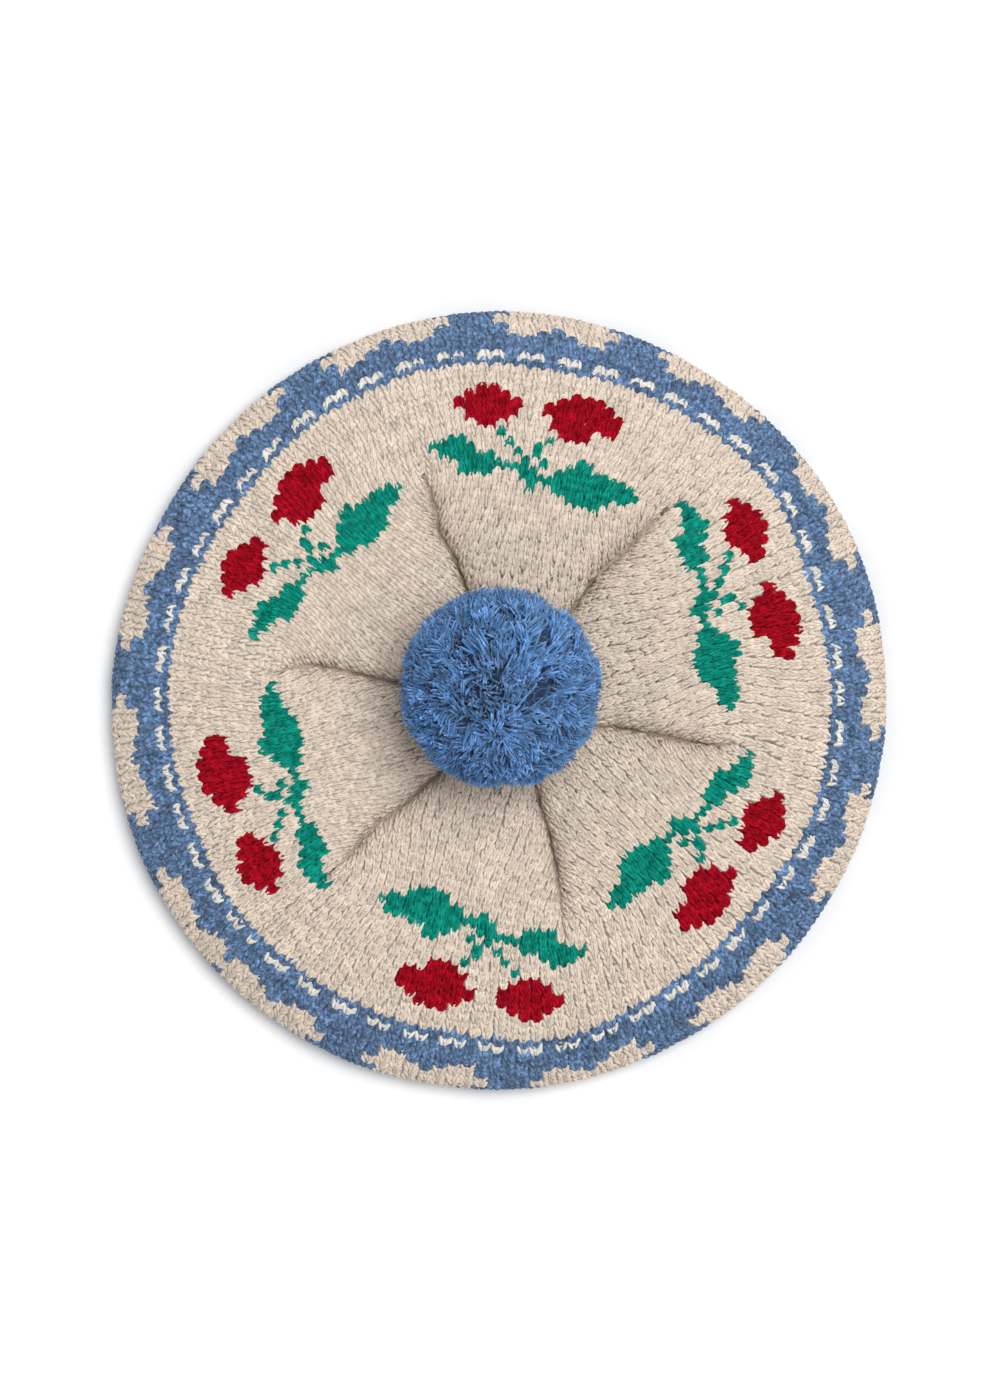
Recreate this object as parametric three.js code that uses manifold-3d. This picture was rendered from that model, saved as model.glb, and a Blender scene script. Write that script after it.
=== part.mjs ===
import * as THREE from 'three';
import { mergeVertices } from 'three/addons/utils/BufferGeometryUtils.js';
import Module from 'manifold-3d';

// A child's knitted beret that lies on a table: a hollow puffed crown, a ribbed brim inside its rim,
// and a pompom tied on through the drawn-in centre. Millimetres, +Z up, table at z = 0.

// Driving dimensions
const beretDiameter = 260;
const wall = 3; // stranded knitting, two yarns thick
const seamGap = 0.3; // clearance between neighbouring pieces
const brimHeight = 18;
const brimRadius = 70.8; // middle of the brim's wall
const brimRibs = 30; // two knit, two purl
const ribRelief = 0.7;
const centreHeight = 32.6; // drawn-in centre of the crown, under the pompom
const centreHole = 2.4;
const pompomRadius = 32.8;
const pompomLean = 3.4; // the pompom leans towards +Y
const pompomHead = 28.5; // radius of its packed inside, from which the locks stand out
const lockRoot = 20; // where a lock starts, from the pompom's middle
const lockWidth = 5.6;
const lockWidthSpread = 0.5;
const lockLengthSpread = 0.7;
const tieRadius = 1.6;
const tieDepth = 11.5; // how far the tie runs into the pompom
const boreDepth = 12;
const knotDepth = 2;

// Worked out from them
const brimInner = brimRadius - wall / 2;
const brimOuter = brimRadius + wall / 2;
const pompomSeat = centreHeight + seamGap + 0.1;
const pompomCentre = pompomSeat + pompomRadius * 0.955;

// Facets and counts
const aroundCrown = 90;
const aroundRib = 4;
const aroundTie = 12;
const alongInner = 12;
const alongNeck = 2;
const lockCount = 72;
const lockSides = 5;

// Outer side of the crown's wall in section, from the centre hole over the rim to the neck
const crownSections = [
  { place: 'centre', radius: centreHole, height: centreHeight },
  { place: 'seat', radius: 11, height: centreHeight + 0.1 },
  { place: 'dimple', radius: 25, height: 34.4 },
  { place: 'puff', radius: 42, height: 37.4 },
  { place: 'top', radius: 60, height: 38.2 },
  { place: 'slope', radius: 80, height: 36.2 },
  { place: 'slope', radius: 98, height: 31.6 },
  { place: 'band', radius: 112, height: 25.4 },
  { place: 'band', radius: 122, height: 18.6 },
  { place: 'roll', radius: 128, height: 12.4 },
  { place: 'rim', radius: beretDiameter / 2, height: 8.2 },
  { place: 'roll', radius: 129, height: 4.8 },
  { place: 'roll', radius: 126.4, height: 2.3 },
  { place: 'lowest', radius: 120.5, height: 1 },
  { place: 'underside', radius: 106, height: 4.4 },
  { place: 'underside', radius: 92, height: 10 },
  { place: 'underside', radius: 80, height: 15.6 },
  { place: 'crease', radius: 73.4, height: 18.9 },
];

// The six tucked folds: the angle at the outer end and near the pompom, how far out the fold runs,
// how deep it is, and the side (+1 anticlockwise) on which its wall is steep
const folds = [
  { outer: 48.6, inner: 52, reach: 87, depth: 5.6, steep: -1 },
  { outer: 108.6, inner: 107, reach: 82, depth: 4.8, steep: 1 },
  { outer: 173, inner: 169.5, reach: 77, depth: 4.6, steep: 1 },
  { outer: 225, inner: 230, reach: 86, depth: 4.8, steep: -1 },
  { outer: 285.6, inner: 292.5, reach: 79, depth: 5.2, steep: 1 },
  { outer: 349.7, inner: 345.5, reach: 82, depth: 5.2, steep: 1 },
];
const foldStart = 14; // the folds fade out under the pompom
const foldInnerRadius = 36;
const foldSteepWidth = 4.2;
const foldGentleWidth = 10;
const foldFloor = 22; // the folds move only the crown's top, which lies above this height
const foldFull = 26;

// The rim isn't a true circle: its radius against the mean one, round the hat
const rimWobble = [
  { turn: 0, offset: -0.6 },
  { turn: 30, offset: 0.1 },
  { turn: 60, offset: -0.5 },
  { turn: 90, offset: 0.2 },
  { turn: 120, offset: -0.5 },
  { turn: 150, offset: -1.3 },
  { turn: 180, offset: 0 },
  { turn: 210, offset: 1.2 },
  { turn: 240, offset: 1.2 },
  { turn: 270, offset: 0.4 },
  { turn: 300, offset: -0.7 },
  { turn: 330, offset: -1 },
];
const wobbleStart = 74;

// Levels of the brim: its ribs are full up to the last but one, and fade out at the top
const brimLevels = [
  { height: 0 },
  { height: brimHeight / 3 },
  { height: (2 * brimHeight) / 3 },
  { height: brimHeight },
];

// Half outline of a lock of yarn, as shares of its width and length
const lockSections = [
  { place: 'root', width: 0, along: 0 },
  { place: 'root', width: 0.55, along: 0 },
  { place: 'shoulder', width: 1, along: 0.8 },
  { place: 'tip', width: 0, along: 1 },
];

// Half outline of the tie: the flat knot inside the crown, then the stem, measured from the knot's top
const tieSections = [
  { place: 'knot', radius: 0, rise: -knotDepth },
  { place: 'knot', radius: 4.6, rise: -0.9 * knotDepth },
  { place: 'knot', radius: 6, rise: -0.5 * knotDepth },
  { place: 'knot', radius: 5, rise: -0.05 * knotDepth },
  { place: 'stem', radius: tieRadius, rise: 0 },
];

const wasm = await Module();
wasm.setup();

const degrees = THREE.MathUtils.degToRad;

function smooth(value, low, high) {
  return THREE.MathUtils.smoothstep(value, low, high);
}

function rimOffset(turn) {
  const step = 360 / rimWobble.length;
  const place = (((turn % 360) + 360) % 360) / step;
  const row = Math.floor(place) % rimWobble.length;
  const next = (row + 1) % rimWobble.length;
  const share = smooth(place - Math.floor(place), 0, 1);
  return THREE.MathUtils.lerp(rimWobble[row].offset, rimWobble[next].offset, share);
}

// How far the crown's top sinks at a point because of its folds
function foldDrop(radius, turn) {
  let drop = 0;
  for (const fold of folds) {
    const outwards = THREE.MathUtils.clamp((radius - foldInnerRadius) / (fold.reach - foldInnerRadius), 0, 1);
    const line = THREE.MathUtils.lerp(fold.inner, fold.outer, outwards);
    const aside = ((turn - line + 540) % 360) - 180;
    const distance = degrees(aside) * radius;
    const width = distance * fold.steep > 0 ? foldSteepWidth : foldGentleWidth;
    const opened = smooth(radius, foldStart, foldInnerRadius);
    const closing = 1 - smooth(radius, fold.reach * 0.6, fold.reach * 1.08);
    drop += fold.depth * opened * closing * Math.exp(-Math.abs(distance / width));
  }
  return drop;
}

// Merges a geometry's shared vertices, so that it becomes one closed shell
function closed(geometry) {
  for (const name of Object.keys(geometry.attributes)) {
    if (name !== 'position') geometry.deleteAttribute(name);
  }
  return mergeVertices(geometry, 1e-4);
}

function solidOf(geometry) {
  const shell = closed(geometry);
  return new wasm.Manifold(
    new wasm.Mesh({
      numProp: 3,
      vertProperties: new Float32Array(shell.attributes.position.array),
      triVerts: new Uint32Array(shell.index.array),
    }),
  );
}

function geometryOf(solid) {
  const mesh = solid.getMesh();
  const geometry = new THREE.BufferGeometry();
  geometry.setAttribute('position', new THREE.BufferAttribute(mesh.vertProperties, 3));
  geometry.setIndex(new THREE.BufferAttribute(mesh.triVerts, 1));
  return geometry;
}

// Turns a closed section round the upright axis
function turned(section, around) {
  const geometry = new THREE.LatheGeometry(section, around);
  geometry.rotateX(Math.PI / 2);
  return closed(geometry);
}

// Moves every vertex with a function of its radius, its angle in degrees and its height
function shaped(geometry, move) {
  const place = geometry.attributes.position;
  for (let i = 0; i < place.count; i += 1) {
    const x = place.getX(i);
    const y = place.getY(i);
    const angle = Math.atan2(y, x);
    const [radius, height] = move(Math.hypot(x, y), THREE.MathUtils.radToDeg(angle), place.getZ(i));
    place.setXYZ(i, radius * Math.cos(angle), radius * Math.sin(angle), height);
  }
  return geometry;
}

// The section's inner side: the outer side moved inwards by the wall
function insideOf(outer, steps) {
  const points = [];
  for (let i = 0; i <= steps; i += 1) {
    const share = i / steps;
    const point = outer.getPointAt(share);
    const along = outer.getTangentAt(share);
    const depth = new THREE.Vector2(-along.y, along.x).multiplyScalar(-wall);
    points.push(point.clone().add(depth));
  }
  points[0].x = centreHole;
  return points.reverse();
}

function crownSection() {
  const outer = new THREE.SplineCurve(crownSections.map((row) => new THREE.Vector2(row.radius, row.height)));
  const inner = insideOf(outer, alongInner);
  const neckFloor = brimHeight + seamGap;
  const neckOuter = new THREE.Vector2(brimOuter + wall / 4, neckFloor);
  const neckInner = new THREE.Vector2(brimInner, neckFloor);
  const neckCorner = new THREE.Vector2(brimInner, inner[0].y + wall / 4);
  const bend = new THREE.QuadraticBezierCurve(neckInner, neckCorner, inner[0]);
  const section = [
    ...outer.getPoints(crownSections.length - 1),
    neckOuter,
    ...bend.getPoints(alongNeck).slice(0, -1),
    ...inner,
    outer.getPoint(0),
  ];
  return section.reverse();
}

function crown() {
  return shaped(turned(crownSection(), aroundCrown), (radius, turn, height) => {
    const share = smooth(radius, wobbleStart, beretDiameter / 2);
    const onTop = smooth(height, foldFloor, foldFull);
    return [radius + rimOffset(turn) * share, height - foldDrop(radius, turn) * onTop];
  });
}

function ribBrim() {
  const outer = brimLevels.map((level) => new THREE.Vector2(brimOuter, level.height));
  const inner = brimLevels.map((level) => new THREE.Vector2(brimInner, level.height)).reverse();
  const section = [inner.at(-1), ...outer, ...inner];
  const ribsFrom = brimLevels.at(-2).height;
  return shaped(turned(section, brimRibs * aroundRib), (radius, turn, height) => {
    const halfFacet = 180 / (brimRibs * aroundRib);
    const wave = Math.cos(degrees(turn + halfFacet) * brimRibs);
    const ease = 1 - smooth(height, ribsFrom, brimHeight);
    return [radius + ribRelief * wave * ease, height];
  });
}

function lock(length, width) {
  const outline = lockSections.map((row) => new THREE.Vector2(row.width * width, row.along * length));
  return new THREE.LatheGeometry(outline, lockSides);
}

// The direction of one of many points spread evenly over a ball
function spread(index, count) {
  const rise = 1 - (2 * index + 1) / count;
  const turn = index * Math.PI * (3 - Math.sqrt(5));
  const flat = Math.sqrt(1 - rise * rise);
  return new THREE.Vector3(flat * Math.cos(turn), flat * Math.sin(turn), rise);
}

// A ball of locks fused to a head, cut flat where it sits on the crown, with a blind bore for the tie
function pompom() {
  const up = new THREE.Vector3(0, 1, 0);
  const solids = [solidOf(new THREE.IcosahedronGeometry(pompomHead, 2))];
  for (let i = 0; i < lockCount; i += 1) {
    const out = spread(i, lockCount);
    const length = pompomRadius + lockLengthSpread * Math.sin(i * 2.4) - lockRoot;
    const geometry = lock(length, lockWidth + lockWidthSpread * Math.sin(i * 1.7));
    geometry.rotateY(i);
    geometry.applyQuaternion(new THREE.Quaternion().setFromUnitVectors(up, out));
    geometry.translate(out.x * lockRoot, out.y * lockRoot, out.z * lockRoot);
    solids.push(solidOf(geometry));
  }
  const ball = wasm.Manifold.union(solids).translate([0, pompomLean, pompomCentre]);
  const side = 4 * pompomRadius;
  const below = new THREE.BoxGeometry(side, side, side).translate(0, 0, pompomSeat - side / 2);
  const bore = new THREE.CylinderGeometry(tieRadius + seamGap, tieRadius + seamGap, 2 * boreDepth, aroundTie);
  bore.rotateX(Math.PI / 2).translate(0, 0, pompomSeat);
  return geometryOf(ball.subtract(solidOf(below)).subtract(solidOf(bore)));
}

function pompomTie() {
  const knotTop = centreHeight - wall - seamGap;
  const stemTop = pompomSeat + tieDepth;
  const section = [
    ...tieSections.map((row) => new THREE.Vector2(row.radius, knotTop + row.rise)),
    new THREE.Vector2(tieRadius, stemTop),
    new THREE.Vector2(0, stemTop),
  ];
  return turned(section, aroundTie);
}

function wool(color) {
  return new THREE.MeshStandardMaterial({ color, roughness: 0.95, metalness: 0 });
}

function piece(name, geometry, color) {
  const mesh = new THREE.Mesh(geometry, wool(color));
  mesh.name = name;
  return mesh;
}

const beret = new THREE.Group();
beret.add(piece('crown', crown(), 0xcdbeae));
beret.add(piece('rib_brim', ribBrim(), 0x5f7898));
beret.add(piece('pompom', pompom(), 0x3e6494));
beret.add(piece('pompom_tie', pompomTie(), 0x3e6494));

export default beret;
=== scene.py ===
# Knitted beret with a pompom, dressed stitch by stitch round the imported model
import math

import bmesh
import bpy
import numpy as np
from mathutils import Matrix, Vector, noise


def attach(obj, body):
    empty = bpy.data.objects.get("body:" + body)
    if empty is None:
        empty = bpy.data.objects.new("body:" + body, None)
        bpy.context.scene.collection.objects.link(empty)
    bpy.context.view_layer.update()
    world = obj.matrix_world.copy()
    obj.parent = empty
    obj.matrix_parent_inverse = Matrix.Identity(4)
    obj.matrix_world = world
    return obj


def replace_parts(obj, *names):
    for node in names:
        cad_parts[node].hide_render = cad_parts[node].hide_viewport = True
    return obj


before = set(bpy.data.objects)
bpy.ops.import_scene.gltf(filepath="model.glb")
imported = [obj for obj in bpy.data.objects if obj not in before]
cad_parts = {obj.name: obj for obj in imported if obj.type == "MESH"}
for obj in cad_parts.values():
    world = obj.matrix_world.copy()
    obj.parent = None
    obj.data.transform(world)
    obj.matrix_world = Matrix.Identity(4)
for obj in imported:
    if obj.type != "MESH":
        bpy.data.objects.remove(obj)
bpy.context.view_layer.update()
scene = bpy.context.scene
rng = np.random.default_rng(11)
noise.seed_set(5)  # noise vectors differ from run to run without it
mm = 0.001


# Camera: straight down over the middle of the hat, through a long lens
view = {
    "distance": 1.6,
    "width": 0.3355,  # what the picture spans at the height of the hat's rim
    "planeHeight": 0.0082,
    "sensor": 36.0,
}


def makeCamera():
    data = bpy.data.cameras.new("top_view")
    data.sensor_fit = "HORIZONTAL"
    data.sensor_width = view["sensor"]
    data.lens = view["sensor"] * (view["distance"] - view["planeHeight"]) / view["width"]
    camera = bpy.data.objects.new("top_view", data)
    camera.location = (0, 0, view["distance"])
    scene.collection.objects.link(camera)
    scene.camera = camera


makeCamera()


# Shape of the hat's body, in millimetres and degrees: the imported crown's, and the seam's faint groove
body = {
    "section": [  # radius and height of the outer side, from the centre hole over the rim to the neck
        (2.4, 32.6), (11, 32.7), (25, 34.4), (42, 37.4), (60, 38.2), (80, 36.2), (98, 31.6), (112, 25.4),
        (122, 18.6), (128, 12.4), (130, 8.2), (129, 4.8), (126.4, 2.3), (120.5, 1), (106, 4.4), (92, 10),
        (80, 15.6), (73.4, 18.9),
    ],
    "steps": 16,
    "rim": 130.0,
    "wobbleFrom": 74.0,
    "wobble": [-0.6, 0.1, -0.5, 0.2, -0.5, -1.3, 0, 1.2, 1.2, 0.4, -0.7, -1],  # every 30 degrees
    "foldFloor": 22.0,  # heights and radii between which the folds open
    "foldFull": 26.0,
    "foldStart": 14.0,
    "foldOpen": 36.0,
    "foldClosing": (0.6, 1.08),  # shares of a fold's reach between which it ends
    "steepWidth": 4.2,
    "gentleWidth": 10.0,
    "creaseDepth": 6.0,
    "creaseWidth": 1.5,
    "creaseClosing": (0.82, 1.02),
    "nearClosing": (0.75, 0.95),
    "seamTurn": 224.4,  # a faint groove runs out along the seam, from a fold's end to the band
    "seamDepth": 1.0,
    "seamWidth": 0.9,
    "seamOpening": (74, 84),
    "seamClosing": (112, 122),
    "normalStep": 0.3,  # the surface's normal comes from points this far away along the section
    "normalTurn": 17,  # and, round the hat, this many degrees away at a radius of a millimetre
    "poleRadius": 3,
}

# The six tucked folds: their lines as radius and turn, and the side on which the wall is steep
folds = [
    {"reach": 87, "depth": 7.0, "steep": -1,
     "line": [(40, 51.4), (51, 52.2), (63, 50.2), (72, 49.8), (86, 48.6)]},
    {"reach": 82, "depth": 6.2, "steep": 1,
     "line": [(38, 106.7), (50, 108), (59, 110.1), (66, 108.8), (81, 108.4)]},
    {"reach": 77, "depth": 6.0, "steep": 1,
     "line": [(35, 170.7), (46, 170), (55, 169.3), (64, 169.8), (71, 171.7), (75, 173.4)]},
    {"reach": 86, "depth": 6.2, "steep": -1,
     "line": [(30, 231.1), (37, 228.6), (48, 227.5), (57, 224.9), (72, 225.8), (96, 225.4)]},
    {"reach": 79, "depth": 6.6, "steep": 1,
     "line": [(29, 293), (38, 290.7), (48, 290.2), (57, 288.6), (76, 285.6)]},
    {"reach": 82, "depth": 6.6, "steep": 1,
     "line": [(31, 344.1), (40, 347), (50, 347.4), (62, 347.4), (73, 348.2), (79, 349.7)]},
]


def smooth(value, low, high):
    share = np.clip((value - low) / (high - low), 0, 1)
    return share * share * (3 - 2 * share)


# How far a turn lies from a line's, between -180 and 180 degrees
def turnAside(turn, line):
    return np.mod(turn - line + 180, 360) - 180


# Value at a turn, from a table of values evenly spaced round the hat
def aroundHat(table, turn):
    table = np.array(table)
    place = np.mod(turn, 360) / (360 / len(table))
    row = np.floor(place).astype(int) % len(table)
    share = smooth(place - np.floor(place), 0, 1)
    return table[row] * (1 - share) + table[(row + 1) % len(table)] * share


def fromTurn(radius, turn, height):
    angle = np.radians(turn)
    height = np.broadcast_to(height, radius.shape)
    return np.stack([radius * np.cos(angle), radius * np.sin(angle), height], axis=-1)


# Evenly stepped points of the spline through a row of points
def splineThrough(points, steps):
    rows = np.array([points[0], *points, points[-1]], float)
    share = (np.arange(steps) / steps)[:, None]
    parts = []
    for i in range(1, len(rows) - 2):
        before, start, end, after = rows[i - 1:i + 3]
        straight = (end - before) * share
        bend = (2 * before - 5 * start + 4 * end - after) * share**2
        turnBack = (3 * start - before - 3 * end + after) * share**3
        parts.append(start + 0.5 * (straight + bend + turnBack))
    return np.vstack([*parts, rows[-2:-1]])


outline = splineThrough(body["section"], body["steps"])
travels = np.concatenate([[0], np.cumsum(np.hypot(*np.diff(outline, axis=0).T))])
rimIndex = int(np.argmax(outline[:, 0]))
rimTravel = travels[rimIndex]


# Way along the section, from the centre, at a radius of the hat's top
def travelAt(radius):
    return np.interp(radius, outline[:rimIndex + 1, 0], travels[:rimIndex + 1])


def radiusAt(travel):
    return np.interp(travel, travels, outline[:, 0])


def foldLine(fold, radius):
    line = np.array(fold["line"], float)
    return np.interp(radius, line[:, 0], line[:, 1])


# How much of a fold is left at a radius, as it closes between two shares of its reach
def leftOf(fold, radius, closing):
    return 1 - smooth(radius, fold["reach"] * closing[0], fold["reach"] * closing[1])


# How far the top sinks at its folds
def foldDrop(radius, turn):
    drop = np.zeros_like(radius)
    opened = smooth(radius, body["foldStart"], body["foldOpen"])
    for fold in folds:
        distance = np.radians(turnAside(turn, foldLine(fold, radius))) * radius
        width = np.where(distance * fold["steep"] > 0, body["steepWidth"], body["gentleWidth"])
        held = opened * leftOf(fold, radius, body["foldClosing"])
        drop += fold["depth"] * held * np.exp(-np.abs(distance) / width)
        held = opened * leftOf(fold, radius, body["creaseClosing"])
        drop += body["creaseDepth"] * held * np.exp(-np.abs(distance) / body["creaseWidth"])
    aside = np.radians(turnAside(turn, body["seamTurn"])) * radius
    along = smooth(radius, *body["seamOpening"]) * (1 - smooth(radius, *body["seamClosing"]))
    return drop + body["seamDepth"] * along * np.exp(-(aside / body["seamWidth"])**2)


# 1 on a fold's line, falling to 0 beside it and past its end
def nearFold(radius, turn, width):
    near = np.zeros_like(radius)
    for fold in folds:
        distance = np.radians(turnAside(turn, foldLine(fold, radius))) * radius
        left = leftOf(fold, radius, body["nearClosing"])
        near = np.maximum(near, left * np.exp(-(distance / width)**2))
    return near


# Points of the crown's outer side at a way along the section and a turn
def crownPoint(travel, turn):
    base = radiusAt(travel)
    height = np.interp(travel, travels, outline[:, 1])
    radius = base + aroundHat(body["wobble"], turn) * smooth(base, body["wobbleFrom"], body["rim"])
    height = height - foldDrop(radius, turn) * smooth(height, body["foldFloor"], body["foldFull"])
    return fromTurn(radius, turn, height)


# The same, raised along the surface's own normal
def crownLifted(travel, turn, lift):
    point = crownPoint(travel, turn)
    step = body["normalStep"]
    along = crownPoint(travel + step, turn) - crownPoint(travel - step, turn)
    spread = body["normalTurn"] / np.maximum(radiusAt(travel), body["poleRadius"])
    around = crownPoint(travel, turn + spread) - crownPoint(travel, turn - spread)
    normal = np.cross(along, around)
    normal /= np.linalg.norm(normal, axis=-1, keepdims=True)
    return point + normal * lift[..., None]


# The knitting: 164 wales round the hat, rows counted inwards from the blue band's inner edge
knit = {
    "wales": 164,
    "shapeTurns": [232.5, 258.5, 284, 310.5, 337.5, 363.5, 390.5, 416, 440.8, 468, 495, 522.5, 549, 577],
    "firstShape": 3,
    "shapeStep": 12,
    "seamTurn": 224.2,
    "motifTurns": [264, 323.25, 383, 440.75, 500.25, 562],
    "firstMotif": 16.5,
    "motifStep": 27,
    "motifHalf": 11.5,
    "motifSpan": 24.3,
    "outerWales": 122.0,  # the wales lean between these two radii
    "innerWales": 79.0,
    "edge": [111.4, 110.9, 115.4, 114.2, 112.0, 113.7, 112.7, 110.6, 111.6, 111.5, 110.3, 111.9, 111.6, 112.3,
             115.3, 111.7, 110.1, 112.1],  # radius of the band's inner edge, every 20 degrees
    "edgeMean": 111.2,
    "pitches": [  # rows, and how far apart they lie there
        (-4, 2.5), (-2, 2.6), (3, 2.55), (4, 2.3), (9, 2.3), (11, 2.78), (12, 2.78), (14, 2.48), (30, 2.5),
    ],
    "rowTable": (-60, 60, 1201),  # first and last row of the table of row depths, and its length
    "fruitTurns": 0.52,  # the wales spread round the fruits, about this far
    "fruitShift": -0.3,
    "fruitRadius": 97.0,
    "fruitWidth": 11.0,
    "sway": 1.1,  # rows rise on a flower's left leaf and dip on its right one
    "swayOpening": (5, 10),
    "swayClosing": (17, 30),
    "bandPitch": 2.5,
    "goreRadius": 55.0,  # a gore's middle is taken between its folds here
    "innerLean": 0.06,
    "goreWale": 3.19,
    "straighten": 0.97,
    "straightFrom": 12,
    "straightFull": 28,
    "cutFrom": 14,  # from this row inwards the folds cut the wales off
    "spareWales": 2,
    "foldSpare": 0.4,  # a stitch may be centred this far past its fold, and is then tucked into it
    "foldTuck": 0.4,
    "foldSink": 0.4,
    "foldReach": 1.0,
    "lastTopRow": 46,
    "hiddenRadius": 11.0,
}
gores = [  # first and last wale, and the folds on the clockwise and the anticlockwise side
    {"wales": (0, 29), "folds": (3, 4)},
    {"wales": (29, 56), "folds": (4, 5)},
    {"wales": (56, 84), "folds": (5, 0)},
    {"wales": (84, 111), "folds": (0, 1)},
    {"wales": (111, 138), "folds": (1, 2)},
    {"wales": (138, 164), "folds": (2, 3)},
]


# Turn of a wale near the rim
def rimTurn(wale):
    middles = knit["firstShape"] + knit["shapeStep"] * np.arange(len(knit["shapeTurns"]))
    places = np.concatenate([[-0.5], middles, [knit["wales"] - 0.5]])
    turns = np.concatenate([[knit["seamTurn"]], knit["shapeTurns"], [knit["seamTurn"] + 360]])
    return np.interp(wale, places, turns)


# Turns and wales at the two sides of each flower, from which the wales between them are spaced
motifTurns = np.array(knit["motifTurns"])[:, None] + knit["motifSpan"] * np.array([-1, 1])
motifWales = (knit["firstMotif"] + knit["motifStep"] * np.arange(len(motifTurns)))[:, None]
motifWales = motifWales + knit["motifHalf"] * np.array([-1, 1])
motifTurns = np.concatenate([[motifTurns[-1, 1] - 360], motifTurns.ravel(), [motifTurns[0, 0] + 360]])
motifWales = np.concatenate([[motifWales[-1, 1] - knit["wales"]], motifWales.ravel(),
                             [motifWales[0, 0] + knit["wales"]]])


def waleTurn(wale, radius):
    inner = np.interp(wale, motifWales, motifTurns)
    share = np.clip((knit["outerWales"] - radius) / (knit["outerWales"] - knit["innerWales"]), 0, 1)
    spread = knit["fruitTurns"] * np.sin(flowerPhase(wale)) + knit["fruitShift"]
    beside = (radius - knit["fruitRadius"]) / knit["fruitWidth"]
    return rimTurn(wale) * (1 - share) + inner * share + spread * np.exp(-beside**2)


# Place across a flower, with 0 at its middle
def flowerPhase(wale):
    return 2 * math.pi * (wale - knit["firstMotif"]) / knit["motifStep"]


rowSteps = np.linspace(*knit["rowTable"])
rowPitches = np.interp(rowSteps, *np.array(knit["pitches"]).T)
rowDepths = np.cumsum(rowPitches) * (rowSteps[1] - rowSteps[0])
rowDepths -= np.interp(0, rowSteps, rowDepths)


def rowDepth(row):
    return np.interp(row, rowSteps, rowDepths)


def goreSides(gore, radius):
    low, high = (foldLine(folds[i], radius) for i in gore["folds"])
    high = np.where(high < low, high + 360, high)
    return low, high


# Section travel and turn of a place in the knitting, for the wales of one gore
def knitPlace(wale, row, gore):
    swaying = smooth(row, *knit["swayOpening"]) * (1 - smooth(row, *knit["swayClosing"]))
    edge = travelAt(aroundHat(knit["edge"], rimTurn(wale)))
    travel = edge - rowDepth(row) + knit["sway"] * swaying * np.sin(flowerPhase(wale))
    radius = radiusAt(travel)
    turn = waleTurn(wale, radius)
    meanRadius = radiusAt(np.maximum(travelAt(knit["edgeMean"]) - rowDepth(row), 0))
    low, high = (float(side) for side in goreSides(gore, knit["goreRadius"]))
    axis = (low + high) / 2
    half = math.radians((high - low) / 2)
    first, last = gore["wales"]
    middle = np.interp(motifTurns[0] + (axis - motifTurns[0]) % 360, motifTurns, motifWales)
    forward = knit["straighten"] * meanRadius * math.cos(half) / math.cos(math.pi / len(gores))
    sideWales = np.where(wale < middle, middle - first + 0.5, last - 0.5 - middle)
    step = np.maximum(knit["goreWale"], forward * math.tan(half) / sideWales)
    sideways = (wale - middle) * step + knit["innerLean"] * np.maximum(knit["innerWales"] - forward, 0)
    outer = np.radians(turn - axis)
    straight = smooth(row, knit["straightFrom"], knit["straightFull"])
    x = radius * np.cos(outer) * (1 - straight) + forward * straight
    y = radius * np.sin(outer) * (1 - straight) + sideways * straight
    topTurn = axis + np.degrees(np.arctan2(y, x))
    onTop = row > 0
    return np.where(onTop, travelAt(np.hypot(x, y)), travel), np.where(onTop, topTurn, turn)


# Yarn charts. The flower: two fruits, stalks and leaves, from the fourth row inside the band
motif = {
    "firstRow": 3,
    "firstWale": 2,
    "firstColumn": 28,
    "repeat": 27,
    "chart": [
        ".....RR......RRR........",
        "....RRRR....RRRRR.......",
        "...RRRRRR..RRRRRRR......",
        "...RRRRRR..RRRRRRR......",
        "....RRRRR...RRRRRR......",
        "....RRRR....RRRR........",
        ".....RR......RRR........",
        ".......G....G...........",
        "GGGG....G..G............",
        ".GGGG....G.G....GG......",
        "..GGGGG...G.G..GGGGGGGG.",
        "...GGGGGGGGG..GGGGGGGGGG",
        "...GGGG...GGGGGGGGGGGGG.",
        "...........G..GGGGGGG...",
        "................GGGG....",
    ],
}
band = {
    "dashRow": -2,
    "dashRepeat": 3,
    "firstShapeRow": -6,
    "halfShape": 4,
    "shapes": [".cc...cc.", ".ccc.ccc.", "ccccccccc", "ccccccccc", ".ccccccc.", ".ccccccc.", "..ccccc.."],
}


def motifYarn(wale, row):
    line = row - motif["firstRow"]
    if not 0 <= line < len(motif["chart"]):
        return "oatmeal"
    column = (motif["firstColumn"] - wale) % motif["repeat"]
    if column >= len(motif["chart"][line]) or wale < motif["firstWale"]:
        return "oatmeal"
    return {"R": "red", "G": "green", ".": "oatmeal"}[motif["chart"][line][column]]


def bandYarn(wale, row):
    if row == band["dashRow"]:
        return "blue" if wale % band["dashRepeat"] == 0 else "white"
    line = band["firstShapeRow"] - row
    if not 0 <= line < len(band["shapes"]):
        return "blue"
    half = band["halfShape"]
    aside = (wale - knit["firstShape"] + knit["shapeStep"] // 2) % knit["shapeStep"] - knit["shapeStep"] // 2
    if abs(aside) > half:
        return "blue"
    return "cream" if band["shapes"][line][aside + half] == "c" else "blue"


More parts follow.
